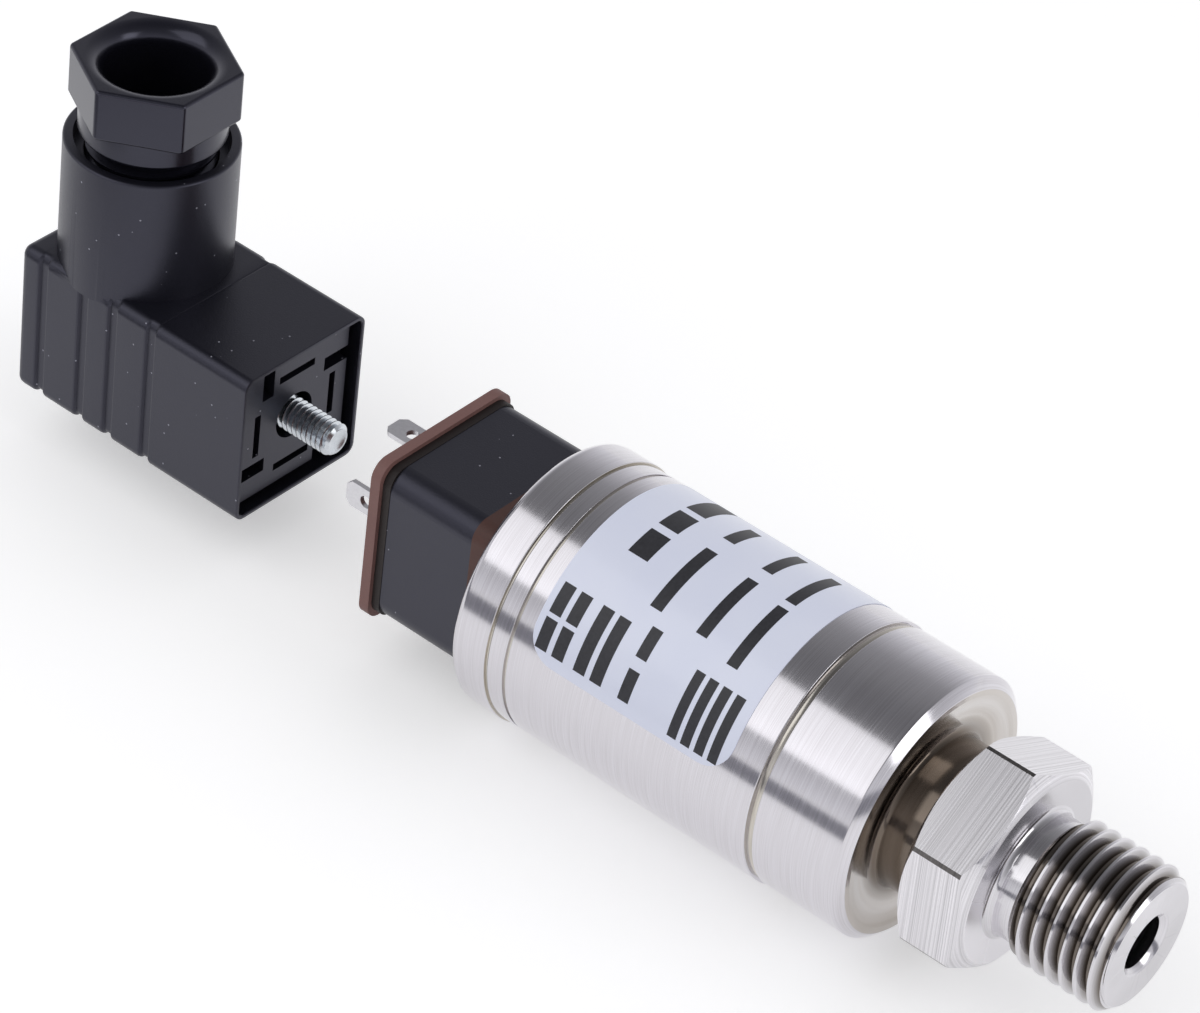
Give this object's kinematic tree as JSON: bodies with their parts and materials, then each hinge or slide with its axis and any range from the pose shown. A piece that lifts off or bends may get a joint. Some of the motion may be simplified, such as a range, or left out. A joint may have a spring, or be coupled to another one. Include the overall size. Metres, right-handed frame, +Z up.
{
  "type": "pressure transmitter",
  "caption": "Stainless pressure transmitter with threaded port, hexagon and labelled tube body; square blade connector with a pull-off angled cable plug.",
  "frame": {"origin": "on the transmitter's axis, at the sealing face of the hexagon", "axes": "+X along the axis and out of the process thread, +Z the way the plug's cable gland points, +Y to the left seen from the thread's side with +Z up"},
  "size_m": [0.127, 0.027, 0.0435],
  "materials": {
    "turned_stainless_steel": "turned and brushed",
    "printed_label_film": "gloss film",
    "black_polyamide": "moulded, fine grain",
    "brown_silicone_seal": "matte",
    "tinned_contact": "tinned, satin",
    "brass_part": "machined",
    "zinc_plated_screw": "zinc plated",
    "black_rubber": "matte",
    "alumina_ceramic": "fired, matte",
    "circuit_board": "solder mask",
    "chip_package": "moulded",
    "capacitor_sleeve": "drawn can",
    "polyimide_flex": "film",
    "wire_sleeve": "extruded sleeve",
    "grey_holder": "moulded"
  },
  "bodies": {
    "transmitter": {"process_connection": "turned_stainless_steel", "housing_tube": "turned_stainless_steel", "rear_ring": "turned_stainless_steel", "label": "printed_label_film", "sensor_seal": "black_rubber", "ceramic_sensor_cell": "alumina_ceramic", "sensor_clamp_ring": "turned_stainless_steel", "sensor_flex": "polyimide_flex", "main_circuit_board": "circuit_board", "board_chips": "chip_package", "board_capacitors": "capacitor_sleeve", "front_board_holder": "grey_holder", "rear_board_holder": "grey_holder", "signal_wires": "wire_sleeve", "base_seal": "brown_silicone_seal", "connector_base": "black_polyamide", "base_thread_insert": "brass_part", "contact_blades": "tinned_contact", "earth_blade": "tinned_contact", "base_screws": "zinc_plated_screw", "profile_gasket": "brown_silicone_seal"},
    "plug": {"plug_housing": "black_polyamide", "contact_insert": "black_polyamide", "socket_contacts": "tinned_contact", "terminal_screws": "zinc_plated_screw", "cable_grommet": "black_rubber", "screw_seal": "black_rubber"},
    "fixing_screw": {"fixing_screw": "zinc_plated_screw"},
    "thrust_washer": {"thrust_washer": "black_polyamide"},
    "gland_nut": {"gland_nut": "black_polyamide"}
  },
  "joints": [
    {"name": "plug_pull", "type": "slide", "parent": "transmitter", "child": "plug", "axis": [1, 0, 0], "range_m": [0, 0.01625]},
    {"name": "fixing_screw_turn", "type": "hinge", "parent": "plug", "child": "fixing_screw", "pos_m": [-0.1, 0, 0], "axis": [1, 0, 0], "continuous": true},
    {"name": "nut_travel", "type": "slide", "parent": "plug", "child": "thrust_washer", "axis": [0, 0, 1], "range_m": [-0.00127, 0.00254]},
    {"name": "nut_turn", "type": "hinge", "parent": "thrust_washer", "child": "gland_nut", "pos_m": [-0.1061, 0, 0.025], "axis": [0, 0, 1], "range_deg": [-360.1, 720.2]}
  ],
  "couplings": [
    {"joint": "nut_turn", "follows": "nut_travel", "rad_per_m": 4947.4}
  ]
}
